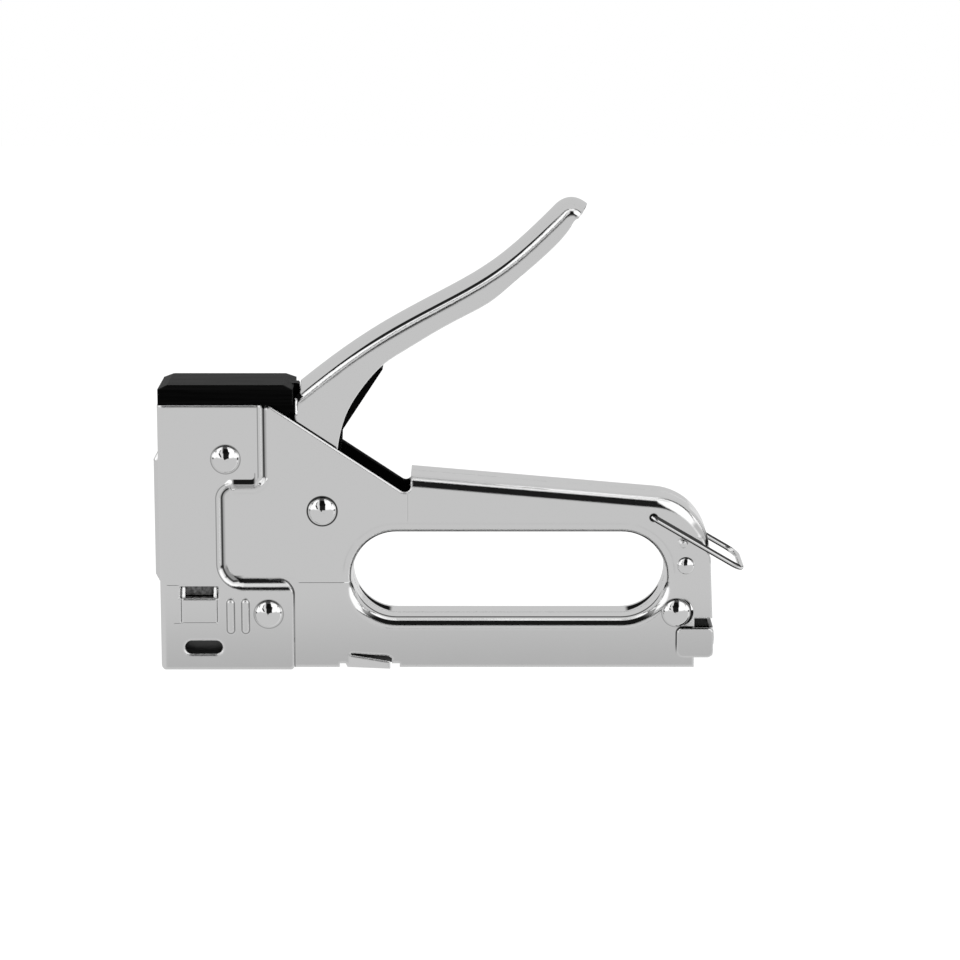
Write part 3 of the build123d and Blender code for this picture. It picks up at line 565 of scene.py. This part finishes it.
# Springs: round oil-tempered wire. The main spring stands over the guide, the return spring sits
# round the pivot bush with one leg on the body and one on the lever, the long one feeds staples.
def wire_tree(material):
    """Sweeps a round wire along a path. Its inputs are the wire's radius and its number of sides."""
    tree = bpy.data.node_groups.new("spring_wire", "GeometryNodeTree")
    tree.interface.new_socket("Path", in_out="INPUT", socket_type="NodeSocketGeometry")
    radius = tree.interface.new_socket("Wire Radius", in_out="INPUT", socket_type="NodeSocketFloat")
    sides = tree.interface.new_socket("Sides", in_out="INPUT", socket_type="NodeSocketInt")
    tree.interface.new_socket("Wire", in_out="OUTPUT", socket_type="NodeSocketGeometry")
    entry = tree.nodes.new("NodeGroupInput")
    ring = tree.nodes.new("GeometryNodeCurvePrimitiveCircle")
    swept = tree.nodes.new("GeometryNodeCurveToMesh")
    smooth = tree.nodes.new("GeometryNodeSetShadeSmooth")
    whole = tree.nodes.new("GeometryNodeRealizeInstances")
    coat = tree.nodes.new("GeometryNodeSetMaterial")
    leave = tree.nodes.new("NodeGroupOutput")
    swept.inputs["Fill Caps"].default_value = True
    coat.inputs["Material"].default_value = material
    link = tree.links.new
    link(entry.outputs["Path"], swept.inputs["Curve"])
    link(entry.outputs["Wire Radius"], ring.inputs["Radius"])
    link(entry.outputs["Sides"], ring.inputs["Resolution"])
    link(ring.outputs["Curve"], swept.inputs["Profile Curve"])
    link(swept.outputs["Mesh"], smooth.inputs["Geometry"])
    link(smooth.outputs["Geometry"], whole.inputs["Geometry"])
    link(whole.outputs["Geometry"], coat.inputs["Geometry"])
    link(coat.outputs["Geometry"], leave.inputs["Wire"])
    return tree, radius.identifier, sides.identifier


def coil_points(radius, rise, turns, steps):
    """Points of a helix that climbs along Z from the middle of its first turn's wire."""
    count = round(turns * steps)
    points = []
    for step in range(count + 1):
        angle = 2 * math.pi * turns * step / count
        points.append(Vector((radius * math.cos(angle), radius * math.sin(angle), rise * step / count)))
    return points


def wound_spring(name, node, points, wire, sides):
    """The spring's wire along its path, in place of the node of the same shape."""
    curve = bpy.data.curves.new(name + "_path", "CURVE")
    curve.dimensions = "3D"
    line = curve.splines.new("POLY")
    line.points.add(len(points) - 1)
    for point, spot in zip(line.points, points):
        point.co = (*spot, 1.0)
    path = bpy.data.objects.new(name + "_path", curve)
    bpy.context.collection.objects.link(path)
    modifier = path.modifiers.new("spring_wire", "NODES")
    modifier.node_group = spring_wire
    modifier[wire_radius_input] = wire / 2
    modifier[wire_sides_input] = sides
    evaluated = path.evaluated_get(bpy.context.evaluated_depsgraph_get())
    mesh = bpy.data.meshes.new_from_object(evaluated)
    mesh.name = name
    spring = bpy.data.objects.new(name, mesh)
    bpy.context.collection.objects.link(spring)
    bpy.data.objects.remove(path)
    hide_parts(node)
    return spring


def joint_named(name):
    return next(entry for entry in frame["joints"] if entry["name"] == name)


spring_finish = worked_steel(
    "spring_wire_finish",
    colour=(0.34, 0.34, 0.35),
    roughness=0.22,
    grain_scale=(900.0, 900.0, 900.0),
    grain_depth=0.01,
)
spring_wire, wire_radius_input, wire_sides_input = wire_tree(spring_finish)

main_wire = 1.6 * millimetre
main_turns = 7.5
main_steps = 40
main_sides = 14
main_low, main_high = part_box("main_spring")
main_axis = Vector(((main_low[0] + main_high[0]) / 2, 0, main_low[2] + main_wire / 2))
main_radius = (main_high[0] - main_low[0] - main_wire) / 2
main_length = main_high[2] - main_low[2]
main_coil_points = coil_points(main_radius, main_length - main_wire, main_turns, main_steps)
main_path = [main_axis + spot for spot in main_coil_points]
main_coil = wound_spring("main_coil", "main_spring", main_path, main_wire, main_sides)
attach(main_coil, "body")
driver_travel = joint_named("driver_slide")["range_m"][1]
(main_length - driver_travel) / main_length
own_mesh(main_coil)

feed_wire = 0.6 * millimetre
feed_turns = 45
feed_steps = 20
feed_sides = 8
feed_low, feed_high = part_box("pusher_spring")
feed_start = Vector((feed_low[0] + feed_wire / 2, 0, (feed_low[2] + feed_high[2]) / 2))
feed_radius = (feed_high[2] - feed_low[2] - feed_wire) / 2
feed_length = feed_high[0] - feed_low[0]
feed_coil_points = coil_points(feed_radius, feed_length - feed_wire, feed_turns, feed_steps)
feed_path = [feed_start + Vector((spot.z, spot.y, -spot.x)) for spot in feed_coil_points]
feed_coil = wound_spring("feed_coil", "pusher_spring", feed_path, feed_wire, feed_sides)
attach(feed_coil, "magazine")
pusher_travel = joint_named("pusher_slide")["range_m"][1]
(feed_length - pusher_travel) / feed_length
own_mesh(feed_coil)

return_wire = 1.0 * millimetre
return_turns = 3
return_steps = 36
return_sides = 12
return_length = 6.4 * millimetre
return_radius = 4.3 * millimetre
body_leg = 14.0 * millimetre
lever_leg = 15.0 * millimetre
pivot = Vector(joint_named("lever_hinge")["pos_m"])
turns_path = coil_points(return_radius, return_length - return_wire, return_turns, return_steps)
first_way = (turns_path[0] - turns_path[1]).normalized()
last_way = (turns_path[-1] - turns_path[-2]).normalized()
turns_path.insert(0, turns_path[0] + first_way * body_leg)
turns_path.append(turns_path[-1] + last_way * lever_leg)
return_side = return_length / 2 - return_wire / 2
return_path = [pivot + Vector((spot.x, return_side - spot.z, spot.y)) for spot in turns_path]
return_coil = wound_spring("return_coil", "lever_return_spring", return_path, return_wire, return_sides)
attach(return_coil, "body")


# Bumper: a moulded rubber block that stops the carriage at the bottom of its stroke.
# It rests on the two shelves bent inwards from the sides of the nose.
def black_finish(name, level, roughness, speck_scale, speck_depth, gloss):
    """Dull black with fine specks that lighten it a little and break up its gloss."""
    speck_range = (0.35, 0.75)
    speck_detail = 5.0
    speck_strength = 0.6
    speck_gloss = 0.25
    base_share = 0.4
    material, start = new_material(name)
    specks = stretched_noise(start, object_place(start), speck_scale, speck_detail)
    relief = start.node(
        "ShaderNodeBump",
        inputs={"Strength": speck_strength, "Distance": speck_depth * millimetre, "Height": specks},
    )
    shader = start.node(
        "ShaderNodeBsdfPrincipled",
        inputs={
            "Base Color": grey(start, specks.ease(*speck_range) * level + level * base_share),
            "Roughness": specks * speck_gloss + roughness,
            "Specular IOR Level": gloss,
            "Normal": relief,
        },
    )
    close_surface(start, shader)
    return material


rubber_finish = black_finish(
    "bumper_rubber_finish",
    level=0.35,
    roughness=0.6,
    speck_scale=(900.0, 900.0, 900.0),
    speck_depth=0.05,
    gloss=0.3,
)
finish_nodes(rubber_finish, "driver_bumper")

# Magazine: a channel of oiled steel held in the shells, with a blackened rail, a zinc-plated rod
# and a pusher in it. The rail, the rod and the chromed end cap pull out together at the rear.
drawn_grain = (120.0, 1800.0, 1800.0)
channel_finish = worked_steel(
    "oiled_channel_finish",
    colour=(0.10, 0.10, 0.10),
    roughness=0.22,
    grain_scale=drawn_grain,
    grain_depth=0.02,
)
finish_nodes(channel_finish, "magazine_channel")
rail_finish = black_finish(
    "blackened_rail_finish",
    level=0.002,
    roughness=0.35,
    speck_scale=drawn_grain,
    speck_depth=0.01,
    gloss=0.03,
)
finish_nodes(rail_finish, "staple_rail")
zinc_finish = worked_steel(
    "zinc_plate_finish",
    colour=(0.52, 0.52, 0.53),
    roughness=0.22,
    grain_scale=drawn_grain,
    grain_depth=0.02,
)
finish_nodes(zinc_finish, "pusher", "pusher_rod")

ear_inner = (10.3, 10.5)
ear_rear = (159.0, 159.3)
ear_top = (11.95, 12.1)
ear_level = 0.88
ear_shade = 0.85
ear_roughness = 0.04
ear_edge = 0.7
end_cap_finish, start = new_material("end_cap_finish")
place, across, outward, up = object_axes(start)
# The end cap's inner sides and top are painted darker than its outside, as shade.
inner_side = (1 - abs(outward).ease(*ear_inner)) * (1 - across.ease(*ear_rear))
hidden = inner_side.most(up.ease(*ear_top))
ear_tint = grey(start, ear_level - hidden * ear_shade)
close_surface(start, plated_surface(start, place, ear_tint, ear_roughness, ear_edge))
finish_nodes(end_cap_finish, "end_cap")

# Lever: a chromed steel hood over a blackened core, both turning on the bush of the pivot rivet.
# The hood's crown has a painted shade line along its shoulder and a bright edge at its front. The core
# reaches down into the body, and the pin in its toe lifts the carriage.
lever_edge = 0.9
front_line = (40.15, 40.3)
front_rise = (74.8, 79.3, 0.3)
front_tilt_z = 76.0
front_tilt_x = 40.0
front_slope_z = 0.6
front_slope_x = 0.9
crown_start = 5.8
crown_width = 2.35
crown_slope = 0.33
shoulder_y = 7.42
shoulder_span = (44.0, 112.0, 5.0)
shoulder_middle = (68.0, 92.0, 24.0)
shoulder_half = 0.08
shoulder_more = 0.25
shoulder_soft = (0.0, 0.12)
shoulder_shade_paint = 0.97
lever_finish, start = new_material("lever_chrome_finish")
place, across, outward, up = object_axes(start)
front_edge = (1 - across.ease(*front_line)) * up.within(*front_rise)
front_turn = (front_tilt_z - up) * front_slope_z + (front_tilt_x - across) * front_slope_x
crown_side = (abs(outward) - crown_start).limited(0.0, crown_width)
ripple = noise(start, place, ripple_scale, ripple_detail) * ripple_height
relief = front_edge * front_turn + ripple + crown_side * crown_slope
hood = plated_surface(start, place, chrome_tint, chrome_roughness, lever_edge, relief)
# The shoulder line is painted shade, laid over the chrome.
line_half = across.within(*shoulder_middle) * shoulder_more + shoulder_half
off_line = abs(abs(outward) - shoulder_y) - line_half
shoulder_line = (1 - off_line.ease(*shoulder_soft)) * across.within(*shoulder_span)
close_surface(start, painted_shade_over(start, hood, shoulder_line * shoulder_shade_paint))
finish_nodes(lever_finish, "lever")
core_finish = black_finish(
    "black_oxide_finish",
    level=0.002,
    roughness=0.35,
    speck_scale=(700.0, 700.0, 700.0),
    speck_depth=0.01,
    gloss=0.03,
)
finish_nodes(core_finish, "lever_core")
finish_nodes(zinc_finish, "toe_pin", "pivot_bush")

# Top cap: black moulded plastic, pressed between the shells over the spring's seat.
# Its top has fine streaks along it, from the mould. Two small skirts close the gap to the lever.
cap_finish = black_finish(
    "cap_plastic_finish",
    level=0.0015,
    roughness=0.28,
    speck_scale=(60.0, 2200.0, 2200.0),
    speck_depth=0.02,
    gloss=0.03,
)
finish_nodes(cap_finish, "top_cap")
skirt_outline = ((36.8, 79.2), (39.62, 79.2), (39.62, 74.7), (36.8, 76.4))
skirt_faces = (8.35, 8.85)
cap_skirts = closed_plates(
    "cap_skirts",
    [[[(x, side * y, z) for x, z in skirt_outline] for y in skirt_faces] for side in (-1, 1)],
)
cap_skirts.data.materials.append(cap_finish)
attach(cap_skirts, "body")

# Rivets: plated dome heads on both sides, with a plain tube round each shank between the shells.
# Painted shade shows as a thin arc at the upper rim of each head, and a painted reflection as a short
# upright mark below it.
head_edge = 0.1
head_roughness = 0.03
head_shade_strength = 0.9
arc_reach = (0.94, 1.1)
arc_soft = 0.15
arc_rise = (0.2, 0.8)
mark_side = (0.13, 0.2)
mark_rise = (0.55, 1.0, 0.1)
rear_low, rear_high = (Vector(corner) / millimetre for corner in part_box("rear_rivet"))
rear_middle = (rear_low + rear_high) / 2
rivet_heads = [(ring_x, ring_z, radius) for ring_x, ring_z, radius, *_ in rivet_shade_rings]
rivet_heads.append((rear_middle.x, rear_middle.z, rear_high.x - rear_middle.x))
rivet_finish, start = new_material("rivet_chrome_finish")
place, across, outward, up = object_axes(start)
# Painted shade at the rim and a painted reflection on the dome of each head.
head_painted_shade = []
for head_x, head_z, radius in rivet_heads:
    over = (up - head_z) / radius
    arc_low, arc_high = (share * radius for share in arc_reach)
    reach = (across - head_x).diagonal(up - head_z)
    head_painted_shade.append(reach.within(arc_low, arc_high, arc_soft) * over.ease(*arc_rise))
    mark_half = [share * radius for share in mark_side]
    head_painted_shade.append((1 - abs(across - head_x).ease(*mark_half)) * over.within(*mark_rise))
head = plated_surface(start, place, chrome_tint, head_roughness, head_edge)
close_surface(start, painted_shade_over(start, head, strongest(head_painted_shade) * head_shade_strength))
finish_nodes(rivet_finish, "body_rivets", "pivot_rivet", "rear_rivet")
finish_nodes(zinc_finish, "rivet_spacers", "rear_spacer")

# Bail: one bent wire, plated, whose two ends hook into the shells. It swings up over the lever's tip
# to hold the lever down. Its legs are painted dark along both edges, as a painted reflection, and stay
# bright along the middle.
bail_x, bail_z, *_ = bail_shade_ring
bail_run = (0.8616, -0.5075)
leg_face = (9.9, 10.2)
bright_half = (0.15, 0.4)
wire_edge = 0.1
wire_roughness = 0.05
wire_edge_shade = 0.94
bail_finish, start = new_material("bail_wire_finish")
place, across, outward, up = object_axes(start)
over_axis = (up - bail_z) * bail_run[0] - (across - bail_x) * bail_run[1]
on_leg = abs(outward).ease(*leg_face)
# The dark edges of the legs are a painted reflection.
bright = (1 - abs(over_axis).ease(*bright_half)) * on_leg
wire = plated_surface(start, place, chrome_tint, wire_roughness, wire_edge)
close_surface(start, painted_shade_over(start, wire, on_leg * (1 - bright) * wire_edge_shade))
finish_nodes(bail_finish, "wire_bail")

# Studio: a light tent round the object, seen only in reflections. It has a dark front, white panels above
# and at the sides, a grey wall at the back and a grey table with dark gaps at its edges.
# Angles are in degrees: elevation from the horizon, azimuth from the middle of the front to either side.
tent_radius = 6.0
tent_centre = (0.08, 0.0, 0.06)
tent_columns = 96
tent_rows = 48
dark = 0.012
panel_white = 1.15
haze_grey = 0.75
wall_grey = 0.60
table_grey = 0.60
table_shade = 0.155
side_grey = 0.74
tent_mesh = bpy.data.meshes.new("light_tent")
shape = bmesh.new()
bmesh.ops.create_uvsphere(shape, u_segments=tent_columns, v_segments=tent_rows, radius=tent_radius)
shape.to_mesh(tent_mesh)
shape.free()
tent = bpy.data.objects.new("light_tent", tent_mesh)
tent.location = tent_centre
bpy.context.collection.objects.link(tent)
tent.visible_camera = False
tent.visible_diffuse = False
tent.visible_shadow = False
tent_light, start = new_material("tent_light")
place, across, along, up = object_axes(start)
tent_reach = tent_radius / millimetre
elevation = start.maths("ARCSINE", up / tent_reach) * math.degrees(1)
azimuth = abs(across).angle(-along)
overhead_turn = up.angle(-along)
middle_seam = (-1.0, 1.0)
right_side = across.ease(*middle_seam)
left_side = 1 - right_side

# Upper half: white panels, with a hazy left end, a dark gap beside it and a hazy strip overhead.
panel_foot = (-1, 2)
upper = haze_grey + (panel_white - haze_grey) * elevation.ease(*panel_foot)
gap_start = 19.9
gap_slope = 0.47
gap_haze = (-2, 0)
gap_width = (-2.5, 2.5, 1.0)
gap_rise = (4, 50, 4)
left_gap = azimuth - (elevation * gap_slope + gap_start)
upper = upper.blend(haze_grey, left_side * (1 - left_gap.ease(*gap_haze)))
upper = upper.blend(dark, left_side * left_gap.within(*gap_width) * elevation.within(*gap_rise))
roof_rise = (62, 64)
roof_turn = (77, 88, 3)
upper = upper.blend(haze_grey, elevation.ease(*roof_rise) * overhead_turn.within(*roof_turn))

# The dark front, where the camera stands, and a dark band and a grey wall behind the object.
dark_front_turn = (-2, 66, 2)
dark_front_side = (0.19, 0.22)
side_share = abs(across) / tent_reach
dark_front = overhead_turn.within(*dark_front_turn) * (1 - side_share.ease(*dark_front_side))
upper = upper.blend(dark, dark_front)
back_start = 23.5
back_slope = 1.85
band_start = 13.5
band_slope = 0.55
band_soft = (0, 3)
band_end = (135, 150)
back_edge = azimuth - (elevation * back_slope + back_start)
band_half = elevation * band_slope - band_start
in_band = 1 - (abs(back_edge) - band_half).ease(*band_soft)
upper = upper.blend(dark, in_band * (1 - azimuth.ease(*band_end)))
back_line = (12, 13)
back_line_side = (104, 105)
wall_start = (16, 18)
wall_side = (108, 110)
upper = upper.blend(dark, back_edge.ease(*back_line) * azimuth.ease(*back_line_side))
upper = upper.blend(wall_grey, back_edge.ease(*wall_start) * azimuth.ease(*wall_side))

# The table: a soft shade near the front, a paler right side with a white strip, and a dark part behind.
shade_top = (-15.7, -13.7)
shade_foot = (-16.2, -15.4)
shade_side = (9, 12)
near_shade = (1 - elevation.ease(*shade_top)) * elevation.ease(*shade_foot) * (1 - azimuth.ease(*shade_side))
lower = table_grey - near_shade * table_shade
pale_side = (76, 79)
strip_side = (79, 82, 1.5)
strip_rise = (-20, -5, 2)
lower = lower.blend(side_grey, right_side * azimuth.ease(*pale_side))
lower = lower.blend(panel_white, right_side * azimuth.within(*strip_side) * elevation.within(*strip_rise))
deep_part = (0.8, 2.4, 0.2)
deep_side = (146, 152)
table_depth = along / (-up)
lower = lower.blend(dark, table_depth.within(*deep_part) * azimuth.ease(*deep_side))

# The table meets the panels at the horizon, with dark gaps at the sides and left of the front.
horizon = (-3, -1)
side_gap = (-5.5, 1.0, 1.0)
side_gap_turn = (80, 150, 4)
front_gap = (-5.5, -1.0, 1.0)
front_gap_turn = (3, 8, 1)
glow = lower.blend(upper, elevation.ease(*horizon))
glow = glow.blend(dark, elevation.within(*side_gap) * azimuth.within(*side_gap_turn))
glow = glow.blend(dark, left_side * elevation.within(*front_gap) * azimuth.within(*front_gap_turn))
close_surface(start, start.node("ShaderNodeEmission", inputs={"Color": grey(start, glow)}))
tent_mesh.materials.append(tent_light)

# Floor: one square sheet of plain paper under the object, white to the eye, with a faint shadow on it.
# It doesn't show in the chrome, which sees the tent's table in its place.
floor_half = 1.5
floor_white = 0.92
floor_glow = 1.1
paper_level = 0.9
floor_mesh = bpy.data.meshes.new("floor")
floor_turns = ((-1, -1), (1, -1), (1, 1), (-1, 1))
floor_corners = [(x * floor_half, y * floor_half, 0) for x, y in floor_turns]
floor_mesh.from_pydata(floor_corners, [], [(0, 1, 2, 3)])
floor = bpy.data.objects.new("floor", floor_mesh)
bpy.context.collection.objects.link(floor)
floor.visible_glossy = False
floor_paint, start = new_material("floor_paint")
paper = start.node("ShaderNodeBsdfDiffuse", inputs={"Color": plain_grey(paper_level)})
white = start.node("ShaderNodeEmission", inputs={"Strength": floor_glow})
close_surface(start, start.node("ShaderNodeMixShader", inputs={0: floor_white, 1: paper, 2: white}))
floor_mesh.materials.append(floor_paint)

# World: white behind the object, and soft light from all round.
# The eye and the metal see the white, and all other surfaces get the softer light.
white_backdrop = 1.0
soft_level = 0.6
world = bpy.data.worlds.new("studio")
bpy.context.scene.world = world
world.use_nodes = True
world.node_tree.nodes.clear()
start = Value(world.node_tree)
path = start.node("ShaderNodeLightPath").socket.node.outputs
seen_rays = ("Is Camera Ray", "Is Glossy Ray", "Is Transmission Ray")
seen = strongest([Value(start.tree, path[ray]) for ray in seen_rays])
full_white = plain_grey(1.0)
backdrop = start.node("ShaderNodeBackground", inputs={"Color": full_white, "Strength": white_backdrop})
soft_light = start.node("ShaderNodeBackground", inputs={"Color": full_white, "Strength": soft_level})
mixed = start.node("ShaderNodeMixShader", inputs={0: seen, 1: soft_light, 2: backdrop})
start.node("ShaderNodeOutputWorld", inputs={"Surface": mixed})

# Lamp: one large soft box overhead, a little in front of the object.
# It gives the shadow on the floor and doesn't show in the chrome.
lamp = bpy.data.lights.new("soft_box", "AREA")
lamp.size = 1.2
lamp.energy = 12.0
lamp_object = bpy.data.objects.new("soft_box", lamp)
lamp_object.location = (0.08, -0.2, 1.4)
lamp_object.visible_glossy = False
bpy.context.collection.objects.link(lamp_object)

# Camera: in front of the near side, a little above it and looking slightly down.
# Its long lens keeps the near and the far side almost the same size.
camera = bpy.data.cameras.new("camera")
camera.sensor_width = 36.0
camera.lens = 123.65
camera_object = bpy.data.objects.new("camera", camera)
camera_object.location = (0.09267, -0.9409, 0.24542)
camera_object.rotation_euler = (math.radians(78.4924), 0, 0)
bpy.context.collection.objects.link(camera_object)
bpy.context.scene.camera = camera_object
bpy.context.scene.view_settings.view_transform = "Standard"
